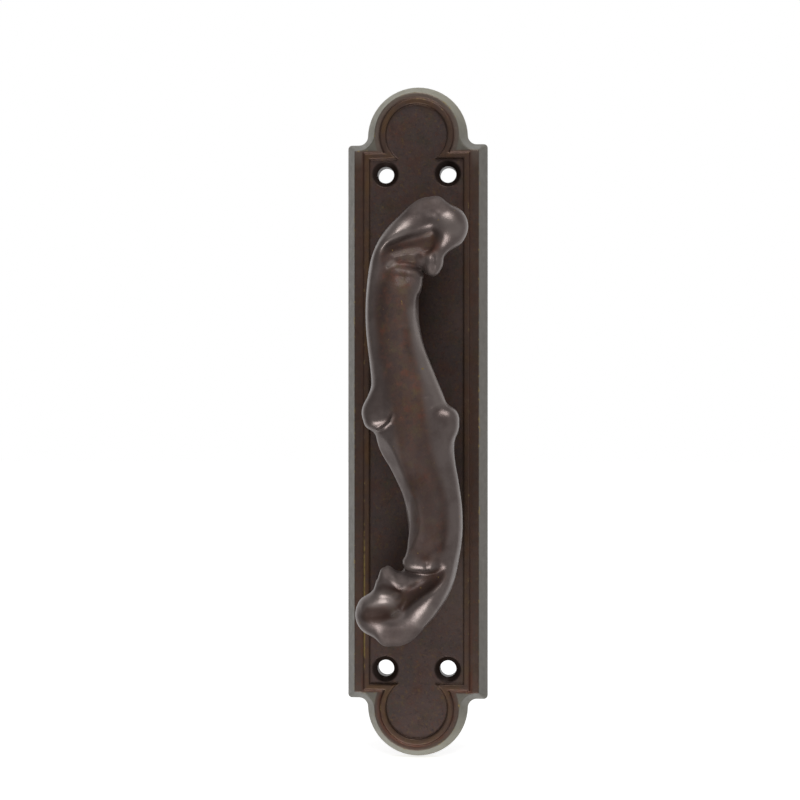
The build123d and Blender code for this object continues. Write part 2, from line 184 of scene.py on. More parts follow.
# %% [markdown]
# ## The floor
# The bolt stands on the crown of its lower dome on a pale shooting table, a sheet of milky plastic. Light
# from below passes through such a sheet, so the table throws no shadow of its own and leaves no hard
# reflection in the metal. It glows a little for the camera, so that it meets the white surround without a
# line, and still takes the bolt's shadow.

# %% Floor
# in metres: how far it reaches to the sides and to the back, and the y of its front edge
FLOOR_SIDE = 4.0
FLOOR_FRONT = -0.16
FLOOR_ROWS = 9
floor_level = cad_bounds[0][2]
floor_x, floor_y = np.meshgrid(np.linspace(-FLOOR_SIDE, FLOOR_SIDE, FLOOR_ROWS),
                               np.linspace(FLOOR_FRONT, FLOOR_SIDE, FLOOR_ROWS))
floor_points = np.stack([floor_x, floor_y, np.full_like(floor_x, floor_level)], -1).reshape(-1, 3)
spot = np.arange(FLOOR_ROWS**2).reshape(FLOOR_ROWS, FLOOR_ROWS)
floor_faces = np.stack([spot[:-1, :-1], spot[:-1, 1:], spot[1:, 1:], spot[1:, :-1]], -1).reshape(-1, 4)
floor_mesh = bpy.data.meshes.new("floor")
floor_mesh.from_pydata(floor_points.tolist(), [], floor_faces.tolist())
floor = placed("floor", floor_mesh)
floor.visible_shadow = False
floor.visible_glossy = False
print("floor at", round(floor_level / MM, 1), "mm")

# %% Milky plastic
FLOOR_GLOW = 0.68
floor_paint = bpy.data.materials.new("pale_matt_floor")
tree = empty_tree(floor_paint)
milky = add(tree, "BsdfDiffuse", {"Color": paint("#f2f2f2")})
rays = add(tree, "LightPath", {}).outputs
seen = add(tree, "Math", {0: rays["Is Camera Ray"], 1: rays["Is Glossy Ray"]}, operation="MAXIMUM")
lit = add(tree, "Emission", {"Color": (1, 1, 1, 1), "Strength": FLOOR_GLOW})
unlit = add(tree, "Emission", {"Color": (0, 0, 0, 1), "Strength": 0.0})
glow = add(tree, "MixShader", {0: seen.outputs[0], 1: unlit.outputs[0], 2: lit.outputs[0]})
both = add(tree, "AddShader", {0: milky.outputs[0], 1: glow.outputs[0]})
add(tree, "OutputMaterial", {"Surface": both.outputs[0]})
dress(floor_mesh, floor_paint)
print("material", floor_paint.name, "with", len(tree.nodes), "nodes")

# %% [markdown]
# ## The handle's limbs
# The handle is one casting, modelled by hand in wax: an S-shaped core, a hood that curls over each end, a
# stem that rises along the middle, folds round the stem's end, a bulb at the tip of each curl and a shoulder
# at each side of the middle. It could be pushed about in Sculpt Mode, but written as limbs it can be
# measured. Each limb has rows of x, z, forward of the middle plane, half width and half depth in
# millimetres, then how far it melts into its neighbours, how long its round ends are and how square its
# section is. The lower end is written as it looks after half a turn, so both ends read alike.

# %% Rows of the core
# y of the handle's middle plane in mm
HANDLE_PLANE = -25.0
UPPER_CORE = [(-0.9, 5, 0, 11.4, 7.7), (-2.35, 11.5, -0.2, 10.25, 7.3), (-4.7, 21, -0.6, 8.95, 6.6),
              (-6.0, 30, -1.2, 8.1, 5.7), (-6.3, 38, -1.9, 7.7, 5.0), (-5.6, 46, -2.4, 7.5, 4.4),
              (-3.0, 53, -2.6, 7.5, 4.2), (2.0, 58.3, -2.6, 7.5, 4.2), (8.0, 61.6, -2.4, 6.2, 4.4)]
LOWER_CORE = [(-0.6, 5, 0, 11.6, 7.7), (-2.9, 11.5, -0.2, 10.35, 7.3), (-5.65, 21, -0.6, 9.05, 6.6),
              (-6.8, 30, -1.2, 8.4, 5.7), (-6.85, 38, -1.9, 7.8, 5.0), (-5.2, 46, -2.4, 7.6, 4.4),
              (-2.6, 53, -2.6, 7.4, 4.2), (2.1, 58.3, -2.6, 7.4, 4.2), (8.0, 61.6, -2.4, 6.2, 4.4)]
MIDDLE = (0.1, 0, 0, 11.8, 7.8)
whole_core = [(-x, -z, forward, width, depth) for x, z, forward, width, depth in reversed(LOWER_CORE)]
whole_core += [MIDDLE, *UPPER_CORE]
print("core of", len(whole_core), "rows")

# %% Limbs of the upper end
UPPER = {
    "hood": ([(-9.2, 18, -3.6, 2.4, 4.2), (-10.9, 28, -2.2, 2.8, 4.7), (-11.4, 37, -1.8, 2.8, 4.8),
              (-10.8, 45, -1.7, 2.8, 4.9), (-8.6, 52.1, -1.6, 3.3, 4.9), (-4.7, 57.6, -1.7, 4.2, 4.8),
              (-0.3, 61.7, -1.7, 5.0, 4.8), (4.0, 64.8, -1.2, 5.5, 4.7), (6.6, 65.4, -1.0, 5.5, 4.7)],
             3.0, 1.0, 3.0),
    "lip": ([(-10.2, 45, -3.4, 1.8, 4.2), (-9.4, 50.4, -1.0, 2.4, 4.9), (-7.2, 55.0, 0.2, 3.0, 5.2),
             (-4.6, 57.8, 0.1, 3.3, 5.1), (-2.0, 59.6, -0.5, 3.5, 4.7), (0.8, 61.2, -1.4, 3.4, 4.4),
             (4.0, 62.4, -2.0, 3.0, 4.2)], 3.4, 0.8, 2.2),
    "throat": ([(-5.2, 50.4, -3.2, 2.8, 4.6), (-1.6, 51.6, -3.0, 3.0, 4.7), (2.4, 51.4, -2.8, 2.8, 4.6),
                (5.0, 50.6, -2.4, 2.0, 4.0)], 2.6, 0.8, 2.2),
    "stem": ([(-1.4, 6, -4.0, 5.0, 6.0), (-3.0, 16, -0.9, 5.4, 6.4), (-4.2, 25, 0.6, 5.7, 6.0),
              (-4.3, 34, 0.7, 5.7, 5.7), (-3.9, 40.0, 0.5, 5.7, 5.4), (-3.2, 43.2, 0.1, 6.3, 5.1),
              (-2.9, 45.6, -0.4, 6.3, 4.8)], 2.2, 0.75, 2.4),
    "tendril": ([(10.8, 58.4, -1.6, 4.4, 4.4), (9.4, 55.6, -1.4, 3.1, 3.9), (8.0, 53.0, -1.2, 2.3, 3.4),
                 (7.0, 50.8, -1.0, 2.5, 3.0)], 2.0, 0.8, 2.2),
    "shoulder": ([(-9.4, 20, -2.8, 2.4, 4.6), (-9.6, 12, -0.8, 2.4, 5.0), (-10.4, 7.4, 0.2, 3.6, 5.2),
                  (-11.1, 3.4, 0.7, 4.7, 5.2), (-10.8, 0.9, 0.7, 4.6, 5.2)], 2.4, 0.85, 2.2),
}
# each ball: x, z and forward of its middle, its radii along x, y and z, and how far it melts
UPPER_BALLS = {
    "bulb": ((11.3, 61.5, -0.9), (6.3, 5.7, 6.7), 1.2),
    "bead": ((6.4, 49.5, -0.4), (2.9, 3.5, 3.8), 1.2),
}
print("upper end:", len(UPPER), "limbs and", len(UPPER_BALLS), "balls")

# %% Limbs of the lower end
LOWER = {
    "hood": ([(-10.4, 18, -3.6, 2.4, 4.2), (-12.0, 28, -2.2, 2.8, 4.7), (-12.1, 37, -1.8, 2.8, 4.8),
              (-10.9, 44.6, -1.7, 2.8, 4.9), (-8.4, 51.5, -1.6, 3.3, 4.9), (-4.4, 57.3, -1.7, 4.3, 4.8),
              (-0.2, 61.6, -1.7, 5.0, 4.8), (3.8, 65.0, -1.2, 5.5, 4.7), (6.8, 65.5, -1.0, 5.4, 4.7)],
             3.0, 1.0, 3.0),
    "lip": ([(-10.4, 44, -3.4, 1.8, 4.2), (-9.4, 49.4, -1.0, 2.4, 4.9), (-7.2, 53.4, 0.2, 3.0, 5.2),
             (-4.8, 56.0, 0.1, 3.3, 5.1), (-2.4, 58.2, -0.5, 3.5, 4.7), (0.0, 60.4, -1.4, 3.4, 4.4),
             (3.0, 62.2, -2.0, 3.0, 4.2)], 3.4, 0.8, 2.2),
    "throat": ([(-3.0, 50.0, -3.2, 2.2, 4.2), (0.0, 50.8, -3.0, 2.4, 4.2), (3.4, 50.5, -2.8, 2.2, 4.2),
                (6.2, 49.2, -2.4, 2.2, 3.8)], 2.6, 0.8, 2.2),
    "stem": ([(-1.4, 6, -4.0, 5.0, 6.0), (-3.6, 16, -0.9, 5.5, 6.4), (-5.1, 25, 0.6, 5.8, 6.0),
              (-5.1, 34, 0.7, 5.9, 5.7), (-4.5, 38.4, 0.5, 5.8, 5.4), (-4.1, 41.2, 0.4, 5.8, 5.2),
              (-4.0, 43.6, 0.3, 6.9, 5.2)], 1.2, 0.75, 3.2),
    "nub": ([(10.6, 58.4, -1.6, 4.0, 4.4), (9.4, 54.6, -1.4, 3.3, 4.0), (8.0, 50.8, -1.1, 3.5, 3.4),
             (8.1, 47.8, -1.0, 2.3, 2.6), (7.6, 46.7, -1.2, 1.3, 2.2)], 1.6, 0.8, 2.2),
    "shoulder": ([(-9.6, 20, -2.8, 2.4, 4.6), (-9.6, 12, -0.8, 2.4, 5.0), (-10.0, 6.4, 0.2, 3.0, 5.2),
                  (-10.8, 2.2, 0.7, 3.9, 5.2), (-10.8, -0.3, 0.7, 4.1, 5.1)], 2.4, 1.1, 2.2),
    "brow": ([(14.0, 59.0, -1.0, 2.5, 5.1), (9.8, 58.2, -0.7, 2.9, 5.3), (5.2, 57.5, -1.2, 2.6, 4.9)],
             2.0, 0.8, 2.6),
}
LOWER_BALLS = {
    "bulb": ((11.3, 61.0, -1.0), (6.8, 5.7, 7.0), 1.8),
    "lobe": ((-7.7, 42.7, 2.6), (3.2, 3.0, 3.7), 1.0),
}
AS_IS = np.array([1.0, 1.0, 1.0])
HALF_TURN = np.array([-1.0, 1.0, -1.0])
# each end: its turn about the spindle, its limbs and its balls
ENDS = ((AS_IS, UPPER, UPPER_BALLS), (HALF_TURN, LOWER, LOWER_BALLS))
print("lower end:", len(LOWER), "limbs and", len(LOWER_BALLS), "balls")

# %% Coves, facets and neck
# each cove: its turn, its rows, and how softly its edge is melted
COVES = {
    "upper_hollow": (AS_IS, [(-9.2, 46.6, 6.4, 1.2, 1.5), (-8.4, 51.0, 5.0, 1.4, 1.7),
                             (-6.0, 54.0, 4.3, 1.7, 2.0), (-1.4, 55.8, 3.9, 1.9, 2.3),
                             (3.6, 57.0, 3.8, 1.9, 2.2), (6.6, 58.2, 4.2, 1.4, 1.7)], 2.8),
    "lower_hollow": (HALF_TURN, [(-9.4, 44.0, 6.4, 1.2, 1.5), (-8.6, 47.6, 5.0, 1.3, 1.7),
                                 (-6.0, 50.2, 4.3, 1.5, 2.0), (-2.2, 52.6, 3.9, 1.7, 2.2),
                                 (0.8, 54.8, 3.7, 1.8, 2.3), (3.0, 57.6, 3.9, 1.5, 1.9)], 2.8),
}
# each facet: x, z and forward of the ridge it starts from, and its tilt in degrees; where the ridge lies
# far forward, the facet does not cut
UNCUT = 60
FACETS = {
    "lower_left": ([(0.9, -43, UNCUT), (1.0, -39.5, 6.2), (1.5, -34.5, 5.1), (1.4, -31, 4.7),
                    (-0.1, -23.8, 4.3), (-2.3, -17.4, 4.5), (-5.6, -10.9, 4.5), (-9.6, -3.8, 4.5),
                    (-10.4, -2.6, UNCUT)], -51),
    "upper_right": ([(5.0, 4.0, UNCUT), (4.2, 7.5, 6.7), (1.6, 14.6, 6.35), (-1.0, 23.5, 5.75),
                     (-2.2, 29, 6.2), (-2.6, 34, UNCUT)], 30),
}
FACET_MELT = 0.4
NECK_RADIUS = 8.9
NECK_BACK = -10.6
NECK_FRONT = -24.0
NECK_CHAMFER = 0.4
NECK_MELT = 3.0
print(len(COVES), "coves and", len(FACETS), "facets; the neck is", 2 * NECK_RADIUS, "mm thick")

# %% [markdown]
# ## A first skin
# Every limb is first a tube: a squared ellipse carried along the limb's path, with round ends. All tubes are
# joined, and Blender's Remesh modifier lays one skin of even quads over whatever is outermost. That gives a
# closed mesh with the right openings, but hard seams between the tubes.

# %% Tubes for the limbs
def rows_between(rows, count):
    """Smooth in-between rows: cubic pieces whose slope at a row is half the step between its neighbours."""
    rows = np.asarray(rows, float)
    padded = np.concatenate([2 * rows[:1] - rows[1:2], rows, 2 * rows[-1:] - rows[-2:-1]])
    place = np.linspace(0, len(rows) - 1 - 1e-9, count)
    step = place.astype(int)
    t = (place - step)[:, None]
    before, start, stop, after = (padded[step + k] for k in range(4))
    slope_in = (stop - before) / 2
    slope_out = (after - start) / 2
    return ((2 * t**3 - 3 * t**2 + 1) * start + (t**3 - 2 * t**2 + t) * slope_in
            + (3 * t**2 - 2 * t**3) * stop + (t**3 - t**2) * slope_out)


def limb(rows, tip=0.8, along=80, around=56, fullness=2.2, cap=11):
    """Skin of a limb: at each row a squared ellipse |u/width|^n + |v/depth|^n = 1 stands across the path, and
    at both ends the section shrinks by the cosine of an angle while it moves on by the sine, a round end."""
    line = rows_between(rows, along)
    x, z, forward, width, depth = line.T
    path = np.stack([x, HANDLE_PLANE - forward, z], 1)
    ahead = np.gradient(path, axis=0)
    ahead /= np.linalg.norm(ahead, axis=1, keepdims=True)
    bend = np.linspace(0, np.pi / 2, cap + 1)[1:]
    reach = tip * np.minimum(width, depth)
    foot = path[0] - ahead[0] * (reach[0] * np.sin(bend))[::-1, None]
    head = path[-1] + ahead[-1] * (reach[-1] * np.sin(bend))[:, None]
    path = np.concatenate([foot, path, head])
    ahead = np.concatenate([np.repeat(ahead[:1], cap, 0), ahead, np.repeat(ahead[-1:], cap, 0)])
    shrink = np.concatenate([np.cos(bend)[::-1], np.ones(along), np.cos(bend)])
    width = np.pad(width, cap, "edge") * shrink
    depth = np.pad(depth, cap, "edge") * shrink
    out = np.array([0.0, -1.0, 0.0])
    out = out - ahead * (ahead @ out)[:, None]
    out /= np.linalg.norm(out, axis=1, keepdims=True)
    side = np.cross(ahead, out)
    turn = np.linspace(0, 2 * np.pi, around, endpoint=False)
    u = np.sign(np.cos(turn)) * np.abs(np.cos(turn)) ** (2 / fullness)
    v = np.sign(np.sin(turn)) * np.abs(np.sin(turn)) ** (2 / fullness)
    return (path[:, None] + side[:, None] * (width[:, None] * u)[..., None]
            + out[:, None] * (depth[:, None] * v)[..., None])


tubes = [limb(whole_core, along=240)]
tubes += [limb(rows, tip, fullness=full) * turn
          for turn, limbs, _ in ENDS for rows, _, tip, full in limbs.values()]
print("the core and", len(tubes) - 1, "limbs are tubes")

# %% Balls and neck
def ball(centre, radii, around=48):
    """A long ball: rings at each latitude, with the cosine as their radius and the sine as their height."""
    tall = np.linspace(-np.pi / 2, np.pi / 2, around // 2 + 1)
    turn = np.linspace(0, 2 * np.pi, around, endpoint=False)
    ring = np.cos(tall)[:, None]
    shape = np.stack([ring * np.cos(turn), ring * np.sin(turn), np.sin(tall)[:, None] + 0 * turn], -1)
    x, z, forward = centre
    return np.array([x, HANDLE_PLANE - forward, z]) + np.array(radii) * shape


def turned(profile, around=128):
    """A turned piece: rows of radius and y carried round the spindle, x = r cos t and z = r sin t."""
    radius, y = np.asarray(profile, float).T
    turn = np.linspace(0, 2 * np.pi, around, endpoint=False)
    radius, y = radius[:, None], y[:, None]
    return np.stack([radius * np.cos(turn), y + 0 * turn, radius * np.sin(turn)], -1)


NECK = [(0, NECK_BACK), (NECK_RADIUS - NECK_CHAMFER, NECK_BACK), (NECK_RADIUS, NECK_BACK - NECK_CHAMFER),
        (NECK_RADIUS, NECK_FRONT), (0, NECK_FRONT)]
tubes += [ball(centre, radii) * turn for turn, _, balls in ENDS for centre, radii, _ in balls.values()]
tubes += [turned(NECK, around=64)]
print("tubes", len(tubes), "with", sum(grid[..., 0].size for grid in tubes), "points")

# %% Join and remesh
def grid_object(name, grids):
    """One object from grids of points in millimetres, each closed round its second direction by quads."""
    faces = []
    start = 0
    for grid in grids:
        rings, around = grid.shape[:2]
        cell = np.arange(rings * around).reshape(rings, around)
        right = np.roll(cell, -1, 1)
        faces.append(start + np.stack([cell[:-1], right[:-1], right[1:], cell[1:]], -1).reshape(-1, 4))
        start += rings * around
    mesh = bpy.data.meshes.new(name)
    points = np.concatenate([grid.reshape(-1, 3) for grid in grids]) * MM
    mesh.from_pydata(points.tolist(), [], np.concatenate(faces).tolist())
    return placed(name, mesh)


def cleared(made):
    """Removes an object together with its mesh."""
    spent = made.data
    bpy.data.objects.remove(made)
    bpy.data.meshes.remove(spent)


def finished(made):
    """The mesh of an object with its modifiers applied; the object and its first mesh are removed."""
    bpy.context.view_layer.update()
    result = bpy.data.meshes.new_from_object(made.evaluated_get(bpy.context.evaluated_depsgraph_get()))
    cleared(made)
    return result


def read(items, name, width, kind=float):
    """One property of all vertices, edges or corners of a mesh, as an array with that many columns."""
    values = np.empty(len(items) * width, kind)
    items.foreach_get(name, values)
    return values.reshape(-1, width)


VOXEL = 0.40
wax = grid_object("wax", tubes)
cover = wax.modifiers.new("skin", "REMESH")
cover.mode = "VOXEL"
cover.voxel_size = VOXEL * MM
skin = finished(wax)
points = read(skin.vertices, "co", 3) / MM
quads = read(skin.loops, "vertex_index", 1, int).reshape(-1, 4)
print("skin", len(points), "points and", len(quads), "quads")

# %% [markdown]
# ## Letting the limbs flow together
# In wax, limbs melt into each other. For each limb the distance of any point from its surface can be worked
# out, below zero inside. The smaller of two such distances is their plain union; taking a little off where
# the two are nearly equal fills the seam with a fillet, and the same with signs turned carves a cove. The
# skin is then moved along its normals until the blended distance is zero everywhere.

# %% Distance from a limb and from a ball
TINY = 1e-6


def limb_distance(where, rows, fullness=2.2, tip=0.8, samples=150, far=9.0, margin=4):
    """Distance to a limb: with u across, v forward and w past an end of the path, g is the sum of their
    shares of width, depth and tip to the power n, to the power 1/n; the distance is radius (1 - 1/g)."""
    line = rows_between(rows, samples)
    result = np.full(len(where), far)
    low = line[:, :2].min(0) - line[:, 3].max() - margin
    high = line[:, :2].max(0) + line[:, 3].max() + margin
    flat = where[:, [0, 2]]
    close = np.flatnonzero(((flat > low) & (flat < high)).all(1))
    flat = flat[close]
    gap = (flat[:, :1] - line[:, 0]) ** 2 + (flat[:, 1:] - line[:, 1]) ** 2
    nearest = gap.argmin(1)
    ahead = np.gradient(line[:, :2], axis=0)
    pitch = np.linalg.norm(ahead, axis=1)
    ahead = ahead / pitch[:, None]
    run = ((flat - line[nearest, :2]) * ahead[nearest]).sum(1)
    place = np.clip(nearest + run / pitch[nearest], 0, samples - 1)
    x, z, forward, width, depth = (np.interp(place, np.arange(samples), column) for column in line.T)
    past_end = np.where(nearest == samples - 1, np.maximum(run, 0), 0)
    past = np.where(nearest == 0, np.maximum(-run, 0), past_end)
    across = (flat[:, 0] - x) * ahead[nearest, 1] - (flat[:, 1] - z) * ahead[nearest, 0]
    front = HANDLE_PLANE - forward - where[close, 1]
    share = (np.abs(across / width) ** fullness + np.abs(front / depth) ** fullness
             + np.abs(past / (tip * np.minimum(width, depth))) ** fullness) ** (1 / fullness)
    radius = np.sqrt(across**2 + front**2 + past**2)
    result[close] = radius - radius / np.maximum(share, TINY)
    return result


def ball_distance(where, centre, radii):
    """Distance to a long ball: g is the length of the offset over the radii; radius times (1 - 1/g)."""
    x, z, forward = centre
    offset = where - np.array([x, HANDLE_PLANE - forward, z])
    share = np.linalg.norm(offset / np.array(radii), axis=1)
    radius = np.linalg.norm(offset, axis=1)
    return radius - radius / np.maximum(share, TINY)


test_point = np.array([[4.0, HANDLE_PLANE, 0.0]])
test_gap = ball_distance(test_point, (0, 0, 0), (3, 3, 3))[0]
print("4 mm from the middle of a 3 mm ball, the distance from the ball is", test_gap, "mm")

# %% Distance from the blended form
def melted(first, second, reach):
    """Smaller of two distances, less a quarter of reach times the square of how near they are to equal."""
    near = np.maximum(reach - np.abs(first - second), 0) / reach
    return np.minimum(first, second) - near**2 * reach / 4


def handle_distance(where):
    """Distance from the blended handle: core, balls, limbs and neck melted together, then the coves carved
    and the facets planed, where x sin(tilt) + forward cos(tilt) from the ridge is above zero."""
    value = limb_distance(where, whole_core, fullness=2.0, samples=260)
    for turn, limbs, balls in ENDS:
        turned_to = where * turn
        for centre, radii, reach in balls.values():
            value = melted(value, ball_distance(turned_to, centre, radii), reach)
        for rows, reach, tip, fullness in limbs.values():
            value = melted(value, limb_distance(turned_to, rows, fullness, tip), reach)
    spoke = np.hypot(where[:, 0], where[:, 2]) - NECK_RADIUS
    neck = np.maximum(np.maximum(spoke, where[:, 1] - NECK_BACK), NECK_FRONT - where[:, 1])
    value = melted(value, neck, NECK_MELT)
    for turn, rows, reach in COVES.values():
        value = -melted(-value, limb_distance(where * turn, rows), reach)
    for rows, tilt in FACETS.values():
        x, z, forward = np.array(rows).T
        aside = where[:, 0] - np.interp(where[:, 2], z, x)
        proud = HANDLE_PLANE - where[:, 1] - np.interp(where[:, 2], z, forward)
        plane = aside * math.sin(math.radians(tilt)) + proud * math.cos(math.radians(tilt))
        value = -melted(-value, -plane, FACET_MELT)
    return value


def mean_miss(values):
    """How far points are from the blended form on average, in millimetres, for printing."""
    return round(float(np.abs(handle_distance(values)).mean()), 3)


print("skin is off the blended form by", mean_miss(points), "mm on average")

# %% [markdown]
# ## Settling the skin
# The skin is moved onto the blended form in small steps, and between the steps each point slides towards
# the middle of its neighbours, which keeps the quads even. Where many limbs meet, a thumb rubs the wax
# smooth. The marks of the modeller's tools go in last: each is a line on the front of the handle, and points
# near it move along their normal by a bell curve of their distance. A negative height is a groove.

# %% Settle the skin
def around_mean(values, edges):
    """Mean of each point's neighbours, summed over both ends of every edge."""
    first, second = edges.T
    count = len(values)
    total = np.stack([np.bincount(first, column[second], count) + np.bincount(second, column[first], count)
                      for column in values.T], 1)
    return total / np.maximum(np.bincount(edges.ravel(), minlength=count), 1)[:, None]


def outward_normals(values):
    """Unit normals of the points: the cross products of the quads' diagonals, added up at their corners."""
    cross = np.cross(values[quads[:, 2]] - values[quads[:, 0]], values[quads[:, 3]] - values[quads[:, 1]])
    total = np.stack([np.bincount(quads.ravel(), np.repeat(column, 4), len(values)) for column in cross.T], 1)
    return total / np.linalg.norm(total, axis=1, keepdims=True)


def relaxed(values, rounds, inward=0.5, outward=-0.52):
    """Smoothing in pairs of steps: towards the neighbours' mean, then a little more away from it."""
    for _ in range(rounds):
        values = values + inward * (around_mean(values, skin_edges) - values)
        values = values + outward * (around_mean(values, skin_edges) - values)
    return values


SETTLE_STEPS = 9
STEP_SHARE = 0.9
LONGEST_STEP = 0.8
SLIDE_SHARE = 0.5
skin_edges = np.unique(np.sort(np.concatenate([quads[:, [k, (k + 1) % 4]] for k in range(4)]), 1), axis=0)
points = relaxed(points, rounds=4)
for _ in range(SETTLE_STEPS):
    normals = outward_normals(points)
    step = np.clip(STEP_SHARE * handle_distance(points), -LONGEST_STEP, LONGEST_STEP)
    points = points - normals * step[:, None]
    slide = around_mean(points, skin_edges) - points
    points = points + SLIDE_SHARE * (slide - normals * (slide * normals).sum(1, keepdims=True))
points = relaxed(points, rounds=2)
print("settled; still off by", mean_miss(points), "mm on average")

# %% Rub the joins smooth
def ramp(value, low, high):
    """Smooth step from 0 at low to 1 at high."""
    t = np.clip((value - low) / (high - low), 0, 1)
    return t * t * (3 - 2 * t)


def thumbed(values, places, rounds):
    """Rubs places smooth: front points within reach of x, z slide halfway to their neighbours' mean."""
    for _ in range(rounds):
        front = ramp(-outward_normals(values)[:, 1], 0.1, 0.5)
        rub = np.zeros(len(values))
        for x, z, reach in places:
            rub = np.maximum(rub, ramp(reach - np.hypot(values[:, 0] - x, values[:, 2] - z), 0, 0.6 * reach))
        values = values + 0.5 * (rub * front)[:, None] * (around_mean(values, skin_edges) - values)
    return values


# places that the thumb rubs: x, z and reach in mm
JOINS = [(-5.2, -51.0, 5.5), (-4.4, -58.8, 4.0), (-9.4, -56.0, 5.0), (4.6, 50.6, 3.6), (-9.6, 51.0, 4.0)]
NUB = [(-5.4, -50.8, 5.2), (-5.0, -54.4, 3.6), (-7.4, -47.6, 3.0)]
points = thumbed(points, JOINS, rounds=36)
points = thumbed(points, NUB, rounds=50)
print("rubbed", len(JOINS) + len(NUB), "places")

# %% Carve the tool marks
def line_distance(values, line):
    """Distance in the x-z plane of each point from a line of straight runs, and its share of the length."""
    line = np.asarray(line, float)
    start, run = line[:-1], np.diff(line, axis=0)
    length = np.linalg.norm(run, axis=1)
    offset = values[:, None, [0, 2]] - start
    t = np.clip((offset * run).sum(-1) / length**2, 0, 1)
    distance = np.linalg.norm(offset - t[..., None] * run, axis=-1)
    nearest = distance.argmin(1)
    row = np.arange(len(values))
    passed = np.concatenate([[0], np.cumsum(length)])[nearest]
    along = (passed + t[row, nearest] * length[nearest]) / length.sum()
    return distance[row, nearest], along


# each mark: x and z of its line in mm, half width, height, and the share of its length that fades at each end
MARKS = {
    "upper_hood_crease": ([(11.2, 69.4), (8.8, 66.6), (6.4, 63.4)], 1.8, -0.3, 0.3),
    "outer_fold": ([(-7.0, 49.4), (-5.2, 51.4), (-1.5, 52.3), (2.5, 51.6), (4.4, 50.2)], 0.45, 0.25, 0.25),
    "inner_fold": ([(-4.6, 49.8), (-1.6, 50.8), (2.0, 50.2)], 0.4, 0.22, 0.25),
    "stem_end_split": ([(-2.6, 49.4), (-2.6, 46.6), (-2.8, 42.0)], 1.3, -0.3, 0.4),
    "bead_groove": ([(6.9, 53.0), (7.0, 49.8), (6.8, 46.6)], 0.8, -0.4, 0.25),
    "lip_split": ([(5.1, -47.6), (5.0, -45.6), (4.6, -43.2)], 0.8, -0.3, 0.35),
    "nub_ridge": ([(-7.2, -48.0), (-5.2, -50.2), (-2.6, -52.2)], 0.9, 0.75, 0.25),
    "left_crescent": ([(-11.6, -2.7), (-9.8, -2.5), (-8.3, -1.9), (-6.4, -0.3), (-5.1, 2.8)], 0.4, 0.5, 0.15),
    "left_seat": ([(-11.2, -1.5), (-9.6, -1.4), (-8.0, -0.7), (-6.8, 0.8), (-6.2, 3.2)], 0.8, -0.22, 0.25),
    "right_crescent": ([(5.8, 2.0), (6.8, 3.7), (8.4, 4.9), (10.4, 5.6)], 0.8, 0.25, 0.35),
}
for line, width, height, fade in MARKS.values():
    normals = outward_normals(points)
    distance, along = line_distance(points, line)
    bell = np.exp(-(distance / width) ** 2) * ramp(along, 0, fade) * ramp(1 - along, 0, fade)
    front = ramp(-normals[:, 1], 0.05, 0.45)
    points = points + normals * (height * bell * front)[:, None]
points = thumbed(relaxed(points, rounds=1), NUB, rounds=4)
print("carved", len(MARKS), "marks; front reach", round(points[:, 1].min(), 2), "mm")

# %% [markdown]
# ## The turned neck and the square socket
# The back of a cast handle is finished on a lathe: a collar that stands on the plate, a journal that runs in
# it, and a groove for the ring that holds it there. A square socket takes the spindle. These are crisp, so
# they are turned pieces joined to the soft casting by Boolean modifiers after the smoothing.

# %% Neck and socket
skin.vertices.foreach_set("co", (points * MM).ravel())
casting = placed("handle_casting", skin)
# rows of radius and y: the end inside the casting, the collar, the journal with its groove, and the back
COLLAR = [(0, -14.0), (8.6, -14.0), (9.0, -13.4), (9.0, -7.1), (8.5, -6.6), (8.0, -6.6), (8.0, -1.75),
          (7.4, -1.75), (7.4, -0.70), (8.0, -0.70), (8.0, -0.55), (7.85, -0.40), (0, -0.40)]
SOCKET_HALF = 3.6
SOCKET_BACK = 0.5
SOCKET_FRONT = -22.0
square = SOCKET_HALF * np.array([(1, 1), (-1, 1), (-1, -1), (1, -1)])
prism = np.stack([np.stack([square[:, 0] * size, np.full(4, y), square[:, 1] * size], -1)
                  for size, y in ((0, SOCKET_BACK), (1, SOCKET_BACK), (1, SOCKET_FRONT), (0, SOCKET_FRONT))])
tools = {"UNION": grid_object("collar", [turned(COLLAR)]), "DIFFERENCE": grid_object("socket", [prism])}
for operation, tool in tools.items():
    weld = tool.modifiers.new("poles", "WELD")
    weld.merge_threshold = 0.001 * MM
    cut = casting.modifiers.new(operation.lower(), "BOOLEAN")
    cut.object = tool
    cut.operation = operation
    cut.solver = "EXACT"
print("tools ready:", [tool.name for tool in tools.values()])

# %% The finished handle
handle_mesh = finished(casting)
for tool in tools.values():
    cleared(tool)
handle_mesh.name = "handle_casting"
handle = placed("handle_casting", handle_mesh)
handle_mesh.shade_smooth()
handle_mesh.set_sharp_from_angle(angle=math.radians(35))
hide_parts("handle")
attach(handle, "turning_handle")
handle_triangles = sum(len(face.vertices) - 2 for face in handle_mesh.polygons)
print("handle", len(handle_mesh.vertices), "points,", handle_triangles, "triangles")
